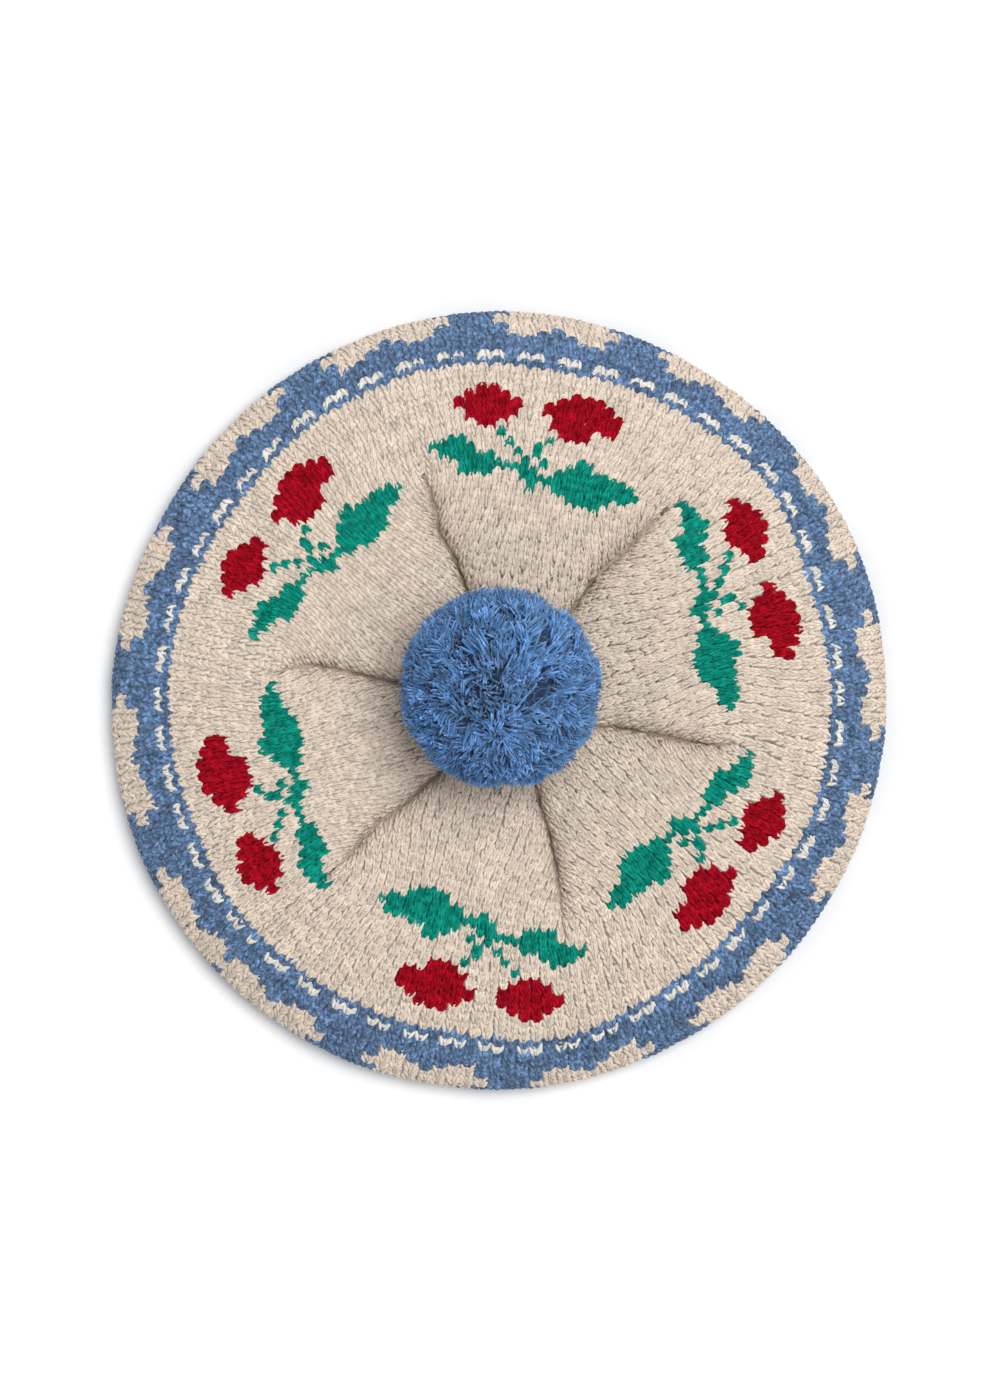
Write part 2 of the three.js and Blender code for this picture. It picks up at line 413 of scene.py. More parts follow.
# One stitch: two plump legs that spread inwards from a point, and a pad behind them that closes the gaps
stitch = {
    "full": (5, 4),  # sides and rings of a leg
    "plain": (3, 4),
    "splitRow": 15,  # parts the crown's stitches into two pieces
    "middle": 0.8,  # from a stitch's row to its middle, in rows
    "point": 0.1,  # sideways place of a leg's two ends, in wales
    "tip": 0.4,
    "spread": 0.8,  # under 1, a leg spreads most near its point
    "start": 0.28,  # in rows
    "length": 1.55,
    "halfWidth": 0.175,
    "narrowing": 0.25,  # how much slimmer a leg is at its point
    "thickness": 0.38,
    "fullness": 0.6,
    "lift": (0.02, 0.14, -0.12),
    "pad": {"half": 0.58, "start": 0.34, "slant": 0.6, "length": 1.4,
            "outer": 0.04, "inner": -0.08, "keel": -1.0},  # heights of the two ends and the keel
    "floor": 0.15,  # nothing hangs lower than this over the table, in millimetres
    "uneven": 0.06,  # how much the stitches' sizes and places differ
    "raised": 0.1,
    "raisedMost": 0.15,
}


# How much further out a ring of a ball lies when its ends are made fuller
def fuller(ring, fullness):
    return ring**fullness / ring if ring > 1e-4 else 0


def bentLeg(bm, side, sides, rings):
    bm.loops.layers.uv.verify()
    made = bmesh.ops.create_uvsphere(bm, u_segments=sides, v_segments=rings, radius=1, calc_uvs=True)
    start, middle, end = stitch["lift"]
    for vert in made["verts"]:
        across, deep, along = vert.co
        share = (1 - along) / 2
        full = fuller(math.hypot(across, deep), stitch["fullness"])
        reach = stitch["point"] + (stitch["tip"] - stitch["point"]) * share**stitch["spread"]
        ends = start * (1 - share) - end * share
        lift = ends * (1 - 2 * share) + 4 * middle * share * (1 - share)
        halfWidth = stitch["halfWidth"] * (1 - stitch["narrowing"] * (1 - share))
        vert.co = (side * (reach + across * full * halfWidth), stitch["start"] + share * stitch["length"],
                   lift + deep * full * stitch["thickness"])


def makeStitch(sides, rings, withPad):
    bm = bmesh.new()
    for side in (-1, 1):
        bentLeg(bm, side, sides, rings)
    legs = len(bm.verts)
    if withPad:
        addPad(bm)
    base = baseOf(bm)
    base["smooth"] = base["corners"].min(axis=1) < legs  # a pad stays flat, or its keel would shade its rim
    return base


# The pad: a chevron as wide as its wale, drawn to a keel underneath
def addPad(bm):
    pad = stitch["pad"]
    half, start, length = pad["half"], pad["start"], pad["length"]
    side = start + pad["slant"]
    corners = [(0, start, pad["outer"]), (half, side, pad["outer"]), (half, side + length, pad["inner"]),
               (0, start + length, pad["inner"]), (-half, side + length, pad["inner"]),
               (-half, side, pad["outer"])]
    ring = [bm.verts.new(corner) for corner in corners]
    keel = bm.verts.new((0, start + length / 2, pad["keel"]))
    bm.faces.new(ring[:4])
    bm.faces.new([*ring[3:], ring[0]])
    for one, other in zip(ring, ring[1:] + ring[:1]):
        bm.faces.new((one, other, keel))


# Triangles, corners and yarn coordinates of a small mesh that is repeated
def baseOf(bm):
    bmesh.ops.recalc_face_normals(bm, faces=bm.faces[:])
    bmesh.ops.triangulate(bm, faces=bm.faces[:])
    yarn = bm.loops.layers.uv.verify()
    places = np.array([vert.co[:] for vert in bm.verts])
    corners = np.array([[vert.index for vert in face.verts] for face in bm.faces])
    coordinates = np.array([[loop[yarn].uv[:] for loop in face.loops] for face in bm.faces])
    bm.free()
    return {"places": places, "corners": corners, "coordinates": coordinates.reshape(-1, 2),
            "smooth": np.ones(len(corners), bool)}


def ridingPiece(name, mesh):
    piece = bpy.data.objects.new(name, mesh)
    scene.collection.objects.link(piece)
    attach(piece, "root")
    return piece


# Tones of single stitches or loops
def randomTones(count):
    return np.clip(rng.standard_normal((count, 1)), -2, 2)


# Many copies of a base as one mesh: points are copies by vertices by three, in millimetres
def joinedPiece(name, base, points, tones, material):
    count, size = points.shape[:2]
    corners = (base["corners"][None] + (np.arange(count) * size)[:, None, None]).reshape(-1, 3)
    mesh = bpy.data.meshes.new(name)
    mesh.vertices.add(count * size)
    mesh.vertices.foreach_set("co", (points * mm).astype(np.float32).ravel())
    mesh.loops.add(corners.size)
    mesh.loops.foreach_set("vertex_index", corners.astype(np.int32).ravel())
    mesh.polygons.add(len(corners))
    mesh.polygons.foreach_set("loop_start", np.arange(0, corners.size, 3, dtype=np.int32))
    mesh.update(calc_edges=True)
    layer = mesh.uv_layers.new(name="yarn")
    layer.data.foreach_set("uv", np.tile(base["coordinates"].astype(np.float32), (count, 1)).ravel())
    tone = mesh.attributes.new("tone", "FLOAT", "POINT")
    tone.data.foreach_set("value", np.broadcast_to(tones, (count, size)).astype(np.float32).ravel())
    mesh.polygons.foreach_set("use_smooth", np.tile(base["smooth"], count))
    mesh.materials.append(material)
    ridingPiece(name, mesh)
    print(name, len(corners), "triangles")


def pieceFrom(bm, name, looks):
    mesh = bpy.data.meshes.new(name)
    bm.to_mesh(mesh)
    bm.free()
    mesh.shade_smooth()
    for look in looks:
        mesh.materials.append(look)
    print(name, len(mesh.polygons), "faces")
    return ridingPiece(name, mesh)


# Wool: base colour, how much single stitches and flecks differ, and how strong the yarn's twist shows
wools = {
    "oatmeal": {"colour": (0.725, 0.615, 0.51), "dark": 0.72, "light": 1.1, "tone": 0.06, "fleck": 800,
                "twist": 0.2, "sheen": 0.2, "gloss": 0.15},
    "cream": {"colour": (0.72, 0.61, 0.505), "dark": 0.74, "light": 1.1, "tone": 0.06, "fleck": 800,
              "twist": 0.2, "sheen": 0.2, "gloss": 0.15},
    "blue": {"colour": (0.1, 0.176, 0.31), "dark": 0.5, "light": 2.1, "tone": 0.16, "fleck": 700,
             "twist": 0.25, "sheen": 0.1, "gloss": 0.1},
    "white": {"colour": (0.74, 0.71, 0.65), "dark": 0.8, "light": 1.1, "tone": 0.06, "fleck": 420,
              "twist": 0.2, "sheen": 0.2, "gloss": 0.15},
    "red": {"colour": (0.34, 0.004, 0.014), "dark": 0.6, "light": 1.4, "tone": 0.1, "fleck": 520,
            "twist": 0.2, "sheen": 0.0, "gloss": 0.04},
    "green": {"colour": (0.005, 0.25, 0.185), "dark": 0.6, "light": 1.4, "tone": 0.1, "fleck": 520,
              "twist": 0.2, "sheen": 0.0, "gloss": 0.04},
    "pompom": {"colour": (0.062, 0.198, 0.44), "dark": 0.5, "light": 1.8, "tone": 0.35, "fleck": 300,
               "twist": 0.25, "sheen": 0.3, "gloss": 0.1, "haze": 0.22},
}
woolLook = {
    "rough": 0.92,
    "sheenRough": 0.6,
    "flecks": (0.3, 0.5, 0.72),  # places of the dark, the plain and the light fleck
    "fleckDetail": 3,
    "plies": (2, 3),  # how often the yarn's plies wind round it, and along it
    "plyShare": 0.35,
    "fibre": 2400,
    "fibreDetail": 2,
    "bumpDepth": 0.0004,
}


def shaded(colour, factor):
    return (*[min(1, c * factor) for c in colour], 1)


# A colour drawn towards its own grey, as loose fibre looks
def hazed(colour, share):
    grey = sum(colour[:3]) / 3
    return (*[c * (1 - share) + grey * share for c in colour[:3]], 1)


def woolMaterial(name, wool):
    material = bpy.data.materials.new(name)
    material.use_nodes = True
    nodes, links = material.node_tree.nodes, material.node_tree.links
    surface = nodes["Principled BSDF"]
    surface.inputs["Roughness"].default_value = woolLook["rough"]
    surface.inputs["Specular IOR Level"].default_value = wool["gloss"]
    surface.inputs["Sheen Weight"].default_value = wool["sheen"]
    surface.inputs["Sheen Roughness"].default_value = woolLook["sheenRough"]
    place = nodes.new("ShaderNodeTexCoord")
    fleck = nodes.new("ShaderNodeTexNoise")
    fleck.inputs["Scale"].default_value = wool["fleck"]
    fleck.inputs["Detail"].default_value = woolLook["fleckDetail"]
    links.new(place.outputs["Object"], fleck.inputs["Vector"])
    ramp = nodes.new("ShaderNodeValToRGB")
    darkPlace, plainPlace, lightPlace = woolLook["flecks"]
    ramp.color_ramp.elements[0].position = darkPlace
    ramp.color_ramp.elements[0].color = shaded(wool["colour"], wool["dark"])
    ramp.color_ramp.elements[1].position = lightPlace
    ramp.color_ramp.elements[1].color = hazed(shaded(wool["colour"], wool["light"]), wool.get("haze", 0))
    middle = ramp.color_ramp.elements.new(plainPlace)
    middle.color = shaded(wool["colour"], 1)
    links.new(fleck.outputs["Fac"], ramp.inputs["Fac"])
    tone = nodes.new("ShaderNodeAttribute")
    tone.attribute_name = "tone"
    brighter = nodes.new("ShaderNodeMath")
    brighter.operation = "MULTIPLY_ADD"
    brighter.inputs[1].default_value = wool["tone"]
    brighter.inputs[2].default_value = 1
    links.new(tone.outputs["Fac"], brighter.inputs[0])
    tint = nodes.new("ShaderNodeVectorMath")
    tint.operation = "SCALE"
    links.new(ramp.outputs["Color"], tint.inputs[0])
    links.new(brighter.outputs["Value"], tint.inputs["Scale"])
    links.new(tint.outputs["Vector"], surface.inputs["Base Color"])
    links.new(twistBump(nodes, links, place, wool).outputs["Normal"], surface.inputs["Normal"])
    return material


# The plies of the yarn wind round it, under a haze of fine fibre
def twistBump(nodes, links, place, wool):
    wind = nodes.new("ShaderNodeVectorMath")
    wind.operation = "DOT_PRODUCT"
    wind.inputs[1].default_value = (*[2 * math.pi * turns for turns in woolLook["plies"]], 0)
    yarn = nodes.new("ShaderNodeUVMap")
    yarn.uv_map = "yarn"
    links.new(yarn.outputs["UV"], wind.inputs[0])
    plies = nodes.new("ShaderNodeMath")
    plies.operation = "SINE"
    links.new(wind.outputs["Value"], plies.inputs[0])
    fibre = nodes.new("ShaderNodeTexNoise")
    fibre.inputs["Scale"].default_value = woolLook["fibre"]
    fibre.inputs["Detail"].default_value = woolLook["fibreDetail"]
    links.new(place.outputs["Object"], fibre.inputs["Vector"])
    both = nodes.new("ShaderNodeMath")
    both.operation = "MULTIPLY_ADD"
    both.inputs[1].default_value = woolLook["plyShare"]
    links.new(plies.outputs["Value"], both.inputs[0])
    links.new(fibre.outputs["Fac"], both.inputs[2])
    bump = nodes.new("ShaderNodeBump")
    bump.inputs["Strength"].default_value = wool["twist"]
    bump.inputs["Distance"].default_value = woolLook["bumpDepth"]
    links.new(both.outputs["Value"], bump.inputs["Height"])
    return bump


materials = {name: woolMaterial(name + "_wool", wool) for name, wool in wools.items()}


# A closed ring of points, spun once round the hat
def spinRing(bm, places, steps):
    ring = [bm.verts.new(place) for place in places]
    edges = [bm.edges.new(pair) for pair in zip(ring, ring[1:] + ring[:1])]
    bmesh.ops.spin(bm, geom=ring + edges, cent=(0, 0, 0), axis=(0, 0, 1), angle=2 * math.pi,
                   steps=steps, use_merge=True)


# The fabric behind the stitches: a hollow wall with knitted ridges inside, painted a little darker than the
# yarn as the shade that falls between the stitches
backing = {
    "depth": 0.8,
    "foldDepth": 1.6,
    "foldWidth": 2.4,
    # how near a fold's line a face must lie to take the fold's painted shade
    "foldShadeFrom": 0.4,
    "inner": 3.4,
    "insideFold": 9.0,
    "around": 360,
    "alongStep": 6,
    # painted shade: every backing, the inside ones too, is the yarn's colour darkened by this share, for the
    # shadow between the stitches
    "shade": 0.85,
    # painted shade: faces in a fold's crease take the yarn's colour darkened this far, for the shadow in the
    # crease
    "foldPaintedShade": 0.6,
    "ridges": 0.3142,
    "distortion": 1.5,
    "distortionScale": 2,
    "troughPaintedShade": 0.3,
    "crestPaintedLight": 0.4,
    "ridgeBump": 0.8,
    "ridgeDepth": 0.0012,
    "gloss": 0.1,
}


def backingMaterial(name, colour, relief, shade):
    material = bpy.data.materials.new(name)
    material.use_nodes = True
    nodes, links = material.node_tree.nodes, material.node_tree.links
    surface = nodes["Principled BSDF"]
    surface.inputs["Roughness"].default_value = 1
    surface.inputs["Specular IOR Level"].default_value = backing["gloss"]
    knitted = nodes.new("ShaderNodeUVMap")
    knitted.uv_map = "knit"
    ridge = nodes.new("ShaderNodeTexWave")
    ridge.bands_direction = "Y"
    ridge.inputs["Scale"].default_value = backing["ridges"]
    ridge.inputs["Distortion"].default_value = backing["distortion"]
    ridge.inputs["Detail Scale"].default_value = backing["distortionScale"]
    links.new(knitted.outputs["UV"], ridge.inputs["Vector"])
    # The ridges' colour follows their bump: painted shade in the troughs, painted light on the crests
    ramp = nodes.new("ShaderNodeValToRGB")
    ramp.color_ramp.elements[0].color = shaded(colour, shade * (1 - backing["troughPaintedShade"] * relief))
    ramp.color_ramp.elements[1].color = shaded(colour, shade * (1 + backing["crestPaintedLight"] * relief))
    links.new(ridge.outputs["Fac"], ramp.inputs["Fac"])
    links.new(ramp.outputs["Color"], surface.inputs["Base Color"])
    bump = nodes.new("ShaderNodeBump")
    bump.inputs["Strength"].default_value = backing["ridgeBump"] * relief
    bump.inputs["Distance"].default_value = backing["ridgeDepth"]
    links.new(ridge.outputs["Fac"], bump.inputs["Height"])
    links.new(bump.outputs["Normal"], surface.inputs["Normal"])
    return material


def makeBacking():
    bm = bmesh.new()
    knitted = bm.loops.layers.uv.new("knit")
    way = np.append(travels[::backing["alongStep"]], travels[-1])
    rows = [(t, -backing["depth"]) for t in way] + [(t, -backing["inner"]) for t in way[::-1]]
    # Until the points are placed, their radius tells their row
    spinRing(bm, [(i + 1, 0, 0) for i in range(len(rows))], backing["around"])
    bm.verts.ensure_lookup_table()
    flat = np.array([vert.co[:] for vert in bm.verts])
    index = np.rint(np.hypot(flat[:, 0], flat[:, 1])).astype(int) - 1
    turn = np.degrees(np.arctan2(flat[:, 1], flat[:, 0]))
    travel = np.array([row[0] for row in rows])[index]
    lift = np.array([row[1] for row in rows])[index]
    folded = nearFold(radiusAt(travel), turn, backing["foldWidth"]) * (travel < rimTravel)
    lift = lift - backing["foldDepth"] * folded
    points = crownLifted(travel, turn, lift)
    inside = index >= len(way)
    sunk = crownPoint(travel, turn) - [0, 0, backing["inner"]]
    share = nearFold(radiusAt(travel), turn, backing["insideFold"]) * (inside & (travel < rimTravel))
    points += (sunk - points) * share[:, None]  # the wall would cross itself in the folds
    for vert, point in zip(bm.verts, points * mm):
        vert.co = point
    coordinates = np.stack([turn / 360 * knit["wales"], travel / knit["bandPitch"]], axis=-1)
    look = (travel > travelAt(knit["edgeMean"])) * 1
    # Faces in a fold's crease get the fifth look, the crease's painted shade
    look = np.where(inside, look + 2, np.where(folded > backing["foldShadeFrom"], 4, look))
    for face in bm.faces:
        face.material_index = int(look[face.verts[0].index])
        for loop in face.loops:
            loop[knitted].uv = coordinates[loop.vert.index]
    bmesh.ops.recalc_face_normals(bm, faces=bm.faces[:])
    looks = [("oatmeal_backing", "oatmeal", 0.2, "shade"), ("blue_backing", "blue", 0.2, "shade"),
             ("inside_oatmeal", "oatmeal", 1, "shade"), ("inside_blue", "blue", 1, "shade"),
             ("fold_painted_shade", "oatmeal", 0.2, "foldPaintedShade")]
    made = [backingMaterial(name, wools[wool]["colour"], relief, backing[shade])
            for name, wool, relief, shade in looks]
    return pieceFrom(bm, "crown_fabric", made)


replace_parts(makeBacking(), "crown")


# Wale, row and gore of every stitch of the body
def plannedStitches():
    rows = []
    lastRow = -math.floor((travels[-1] - travelAt(knit["edgeMean"])) / knit["bandPitch"])
    for number, gore in enumerate(gores):
        first, last = gore["wales"]
        for row in range(lastRow, knit["lastTopRow"]):
            spare = knit["spareWales"] if row >= knit["cutFrom"] else 0
            for wale in range(first - spare, last + spare):
                rows.append((wale, row, number))
    return np.array(rows)


# Without those that lie past a fold, or out of sight under the pompom
def keptStitches(plan):
    keep = np.ones(len(plan), bool)
    for number, gore in enumerate(gores):
        mine = plan[:, 2] == number
        wale, row = plan[mine, 0].astype(float), plan[mine, 1]
        travel, turn = knitPlace(wale, row + stitch["middle"], gore)
        radius = radiusAt(travel)
        low, high = goreSides(gore, radius)
        off = turnAside(turn, low)
        spare = np.degrees(knit["foldSpare"] / np.maximum(radius, knit["hiddenRadius"]))
        inside = (off > -spare) & (off < high - low + spare)
        keep[mine] = ((row < knit["cutFrom"]) | inside) & ((row < 0) | (radius > knit["hiddenRadius"]))
    return plan[keep]


# Turns held inside the gore's two folds
def tucked(travel, turn, gore):
    radius = radiusAt(travel)
    low, high = goreSides(gore, radius)
    inset = np.degrees(knit["foldTuck"] / np.maximum(radius, 1))
    off = np.mod(turn - low + 90, 360) - 90
    return low + np.clip(off, inset, high - low - inset)


def stitchPoints(base, plan):
    places = base["places"]
    points = np.zeros((len(plan), len(places), 3))
    size = 1 + stitch["uneven"] * rng.standard_normal(len(plan))
    drift = stitch["uneven"] * rng.standard_normal((len(plan), 2))
    raised = np.minimum(stitch["raised"] * rng.standard_normal(len(plan)), stitch["raisedMost"])
    for number, gore in enumerate(gores):
        mine = np.flatnonzero(plan[:, 2] == number)
        wale = plan[mine, 0:1] + places[:, 0] * size[mine, None] + drift[mine, :1]
        row = plan[mine, 1:2] + places[:, 1] * size[mine, None] + drift[mine, 1:]
        travel, turn = knitPlace(wale, row, gore)
        turn = np.where(plan[mine, 1:2] >= knit["cutFrom"], tucked(travel, turn, gore), turn)
        sunk = knit["foldSink"] * nearFold(radiusAt(travel), turn, knit["foldReach"])
        points[mine] = crownLifted(travel, turn, places[:, 2] + raised[mine, None] - sunk)
    points[..., 2] = np.maximum(points[..., 2], stitch["floor"])
    return points


def makeStitches():
    plan = keptStitches(plannedStitches())
    row = plan[:, 1]
    yarn = np.array([motifYarn(w, r) if r >= 0 else bandYarn(w, r) for w, r, _ in plan.tolist()])
    outerLast = band["firstShapeRow"] - len(band["shapes"])
    full = makeStitch(*stitch["full"], True)
    plain = makeStitch(*stitch["plain"], False)
    parts = [
        ("crown_stitches_outer", full, (yarn == "oatmeal") & (row < stitch["splitRow"]), "oatmeal"),
        ("crown_stitches_inner", full, (yarn == "oatmeal") & (row >= stitch["splitRow"]), "oatmeal"),
        ("fruit_stitches", full, yarn == "red", "red"),
        ("leaf_stitches", full, yarn == "green", "green"),
        ("band_stitches", full, (yarn == "blue") & (row > outerLast), "blue"),
        ("band_shapes", full, yarn == "cream", "cream"),
        ("band_dashes", full, yarn == "white", "white"),
        ("underside_stitches", plain, (yarn == "blue") & (row <= outerLast), "blue"),
    ]
    for name, base, chosen, wool in parts:
        mine = plan[chosen]
        tones = randomTones(len(mine))
        joinedPiece(name, base, stitchPoints(base, mine), tones, materials[wool])


makeStitches()


# Ribbed brim: two knit columns on each rib outside, two on each rib inside
brim = {
    "radius": 70.8,
    "wall": 3.0,
    "ribs": 30,
    "relief": 0.7,
    "height": 18.0,
    "easeFrom": 12.0,  # the ribs flatten from here to the top
    "rows": 7,
    "aside": 1.5,
    "waleTurns": 3.0,
    "knit": {"start": 0.15, "stretch": 0.94, "sunk": 0.1, "tone": 0.0},
    # the purl bumps' negative tone is painted shade, for the grooves between the ribs where they sit
    "purl": {"start": 0.0, "stretch": 1.0, "sunk": 0.4, "tone": -0.4},
    "bump": {"length": 0.55, "width": 0.36, "bow": 0.18, "height": 0.55},
    "over": 0.1,
    "around": 240,
    "inset": 0.6,  # the fabric lies this far inside the stitches
    "foot": 0.5,
    "levels": (6, 12),
    "lip": 2.6,  # closes the seam against the crown's underside
    "lipRoot": 1.3,
    "lipEdge": 0.6,
    "ridgePitch": 2.57,
    "castLoops": 168,
    "castSize": (1.5, 1.55, 0.8),
    "castSlant": 30,
}
brimPitch = brim["height"] / brim["rows"]


def brimWave(turn, height):
    ease = 1 - smooth(height, brim["easeFrom"], brim["height"])
    return brim["relief"] * np.cos(np.radians(turn) * brim["ribs"]) * ease


def brimPoint(turn, height, side, lift):
    return fromTurn(brim["radius"] + side * (brim["wall"] / 2 + lift) + brimWave(turn, height), turn, height)


def makeBrimFabric():
    bm = bmesh.new()
    half = brim["wall"] / 2 - brim["inset"]
    lip = half + brim["lip"]
    low, high = brim["foot"], brim["height"] - brim["over"]
    lower, upper = brim["levels"]
    corners = [(-half, low), (half, low), (half, lower), (half, upper), (half, high - brim["lipRoot"]),
               (lip, high - brim["lipEdge"]), (lip, high), (-half, high), (-half, upper), (-half, lower)]
    spinRing(bm, [(brim["radius"] + aside, 0, height) for aside, height in corners], brim["around"])
    for vert in bm.verts:
        turn = math.degrees(math.atan2(vert.co.y, vert.co.x))
        swell = 1 + float(brimWave(turn, vert.co.z)) / brim["radius"]
        vert.co = (vert.co.x * swell * mm, vert.co.y * swell * mm, vert.co.z * mm)
    bmesh.ops.recalc_face_normals(bm, faces=bm.faces[:])
    knitted = bm.loops.layers.uv.new("knit")
    for face in bm.faces:
        for loop in face.loops:
            turn = math.degrees(math.atan2(loop.vert.co.y, loop.vert.co.x))
            loop[knitted].uv = (turn / brim["waleTurns"], loop.vert.co.z / mm / brim["ridgePitch"])
    # The brim's wall takes the same painted shade as the crown's backing
    look = backingMaterial("brim_backing", wools["blue"]["colour"], 0.5, backing["shade"])
    return pieceFrom(bm, "brim_fabric", [look])


# Copies of a stitch on the brim, each at its turn and height, on one side of the wall
def placeOnBrim(name, base, parts, fit):
    turn, height, side = np.array(parts).T[:, :, None]
    places = base["places"]
    turn = turn + places[:, 0] * side * brim["waleTurns"]
    height = height + fit["start"] + places[:, 1] * brimPitch * fit["stretch"]
    height = np.clip(height, stitch["floor"], brim["height"] + brim["over"])
    points = brimPoint(turn, height, side, places[:, 2] - fit["sunk"])
    # A fit's tone shifts all its copies; the purl bumps' is painted shade in the grooves
    joinedPiece(name, base, points, randomTones(len(parts)) + fit["tone"], materials["blue"])


# Knit columns run up the ribs and low purl bumps fill the grooves, on both sides of the wall
def makeBrimStitches():
    knitParts, purlParts = [], []
    for side in (1, -1):
        for rib in range(brim["ribs"]):
            crest = rib * 360 / brim["ribs"] + (0 if side > 0 else 180 / brim["ribs"])
            for aside in (-brim["aside"], brim["aside"]):
                for row in range(brim["rows"]):
                    height = row * brimPitch
                    knitParts.append((crest + aside, height, side))
                    purlParts.append((crest + 180 / brim["ribs"] + aside, height + brimPitch / 2, side))
    placeOnBrim("brim_knit_ribs", makeStitch(4, 4, False), knitParts, brim["knit"])
    placeOnBrim("brim_purl_bumps", makePurlBump(), purlParts, brim["purl"])


# The cast-on edge: a row of slanted loops under the brim
def makeCastEdge():
    bm = bmesh.new()
    bm.loops.layers.uv.new("yarn")
    bmesh.ops.create_uvsphere(bm, u_segments=8, v_segments=5, radius=1, calc_uvs=True)
    base = baseOf(bm)
    along, across, up = (base["places"] * brim["castSize"]).T
    slant = math.radians(brim["castSlant"])
    aside = along * math.cos(slant) - across * math.sin(slant)
    outward = along * math.sin(slant) + across * math.cos(slant)
    turn = np.arange(brim["castLoops"])[:, None] * 360 / brim["castLoops"]
    turn = turn + np.degrees(aside / brim["radius"])
    radius = brim["radius"] + outward + brimWave(turn, 0)
    points = fromTurn(radius, turn, stitch["floor"] + brim["castSize"][2] + up)
    joinedPiece("brim_cast_edge", base, points, randomTones(len(points)), materials["blue"])


def makePurlBump():
    bm = bmesh.new()
    bm.loops.layers.uv.new("yarn")
    bmesh.ops.create_uvsphere(bm, u_segments=4, v_segments=4, radius=1, calc_uvs=True)
    bump = brim["bump"]
    for vert in bm.verts:
        across, deep, along = vert.co
        bow = bump["bow"] * (1 - along * along)
        vert.co = (along * bump["length"], across * bump["width"] + bow, deep * bump["height"])
    return baseOf(bm)


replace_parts(makeBrimFabric(), "rib_brim")
makeBrimStitches()
makeCastEdge()


# Pompom: cut strands round a packed core. They lie down and sweep away from one parting
pompom = {
    "radius": 31.9,
    "lean": 3.8,
    "seat": 33.0,
    "sit": 0.955,
    "core": 27.6,
    # painted shade: the core is nearly black, for the shade deep among the strands
    "coreShadeColour": (0.012, 0.035, 0.09),
    "coreUneven": 0.05,
    "coreWaves": 160,
    "coreClear": 0.4,
    "strands": 10400,
    "scatter": 0.035,
    "lowest": -0.93,
    "sides": 3,
    "rings": 4,
    "strandFullness": 0.35,
    "thickness": 0.42,
    "thickJitter": 0.15,
    "root": 24.0,
    "bow": 1.4,
    "clear": 0.2,  # gap to the seat
    "parting": (-0.035, -0.52, 0.854),
    "sweep": 0.1,  # how far all strands lean away from the parting, and how far those beside it do
    "partingSweep": 0.85,
    "partingWidth": 0.3,
    "partingSide": 0.45,  # the strands are swept over a wider strip on the parting's right
    "sideWidth": 0.25,
    "partingSwirl": 0.25,
    "partingDent": 1.0,
    "partingRoot": 5.4,
    "tufts": 420,
    "gather": 0.4,  # how far the tips of a tuft draw together
    "tuft": 0.23,
    "tuftSize": 3.5,
    "tuftScatter": 0.06,
    "tuftLean": 0.12,
    "tuftRise": 0.8,
    # painted light and shade: tufts that stand higher are lighter, sunken ones darker
    "tuftLightAndShade": 0.5,
    "jitter": 0.07,
    "ragged": 0.7,
    "lobes": 1.2,
    "longest": 1.6,  # past the radius
    "tone": 0.6,
    "tipLightRootShade": 1.4,  # a strand's tip is painted lighter and its root darker than this share of its length: painted light on the pompom's surface, painted shade deep among the strands
    "evenTone": 0.6,
    "fibres": 1700,
    "fibreLowest": -0.6,
    "fibreRoot": 2.5,
    "fibreBow": 1.6,
    "fibreLean": 0.07,
    "fibreRise": 1.9,
    "fibreWidth": 0.11,
    # painted sheen: the loose fibres are lighter, for the light caught along the pompom's fuzzy rim
    "fibrePaintedSheen": 1.2,
}
pompomMiddle = np.array([0, pompom["lean"], pompom["seat"] + pompom["sit"] * pompom["radius"]])


def evenDirections(count):
    index = np.arange(count)
    rise = 1 - (2 * index + 1) / count
    turn = index * math.pi * (3 - math.sqrt(5))
    flat = np.sqrt(1 - rise**2)
    return np.stack([flat * np.cos(turn), flat * np.sin(turn), rise], axis=-1)


def unit(vectors):
    return vectors / np.linalg.norm(vectors, axis=-1, keepdims=True)


def makeCore():
    bm = bmesh.new()
    bmesh.ops.create_icosphere(bm, subdivisions=4, radius=pompom["core"] * mm)
    for vert in bm.verts:
        wave = noise.noise(vert.co * pompom["coreWaves"])
        vert.co = vert.co * (1 + pompom["coreUneven"] * wave) + Vector(pompomMiddle) * mm
        vert.co.z = max(vert.co.z, (pompom["seat"] + pompom["coreClear"]) * mm)
    # The core's wool is painted as shade, nearly black
    shade = woolMaterial("pompom_shade", {**wools["pompom"], "colour": pompom["coreShadeColour"]})
    return pieceFrom(bm, "pompom_core", [shade])


def makeStrandBase():
    bm = bmesh.new()
    bm.loops.layers.uv.new("yarn")
    bmesh.ops.create_uvsphere(bm, u_segments=pompom["sides"], v_segments=pompom["rings"], radius=1,
                              calc_uvs=True)
    for vert in bm.verts:
        across, deep, along = vert.co
        share = (1 + math.copysign(abs(along)**0.5, along)) / 2
        full = fuller(math.hypot(across, deep), pompom["strandFullness"])
        vert.co = (across * full, deep * full, share)
    return baseOf(bm)


def scattered(count, spread):
    return unit(evenDirections(count) + spread * rng.standard_normal((count, 3)))


# 1 at the parting, falling to 0 away from it
def nearParting(outward, parting):
    distance = np.linalg.norm(outward - parting, axis=1)
    rightward = np.clip((outward[:, 0] - parting[0]) / pompom["sideWidth"], -1, 1)
    width = pompom["partingWidth"] * (1 + pompom["partingSide"] * rightward)
    return np.exp(-(distance / width)**2)


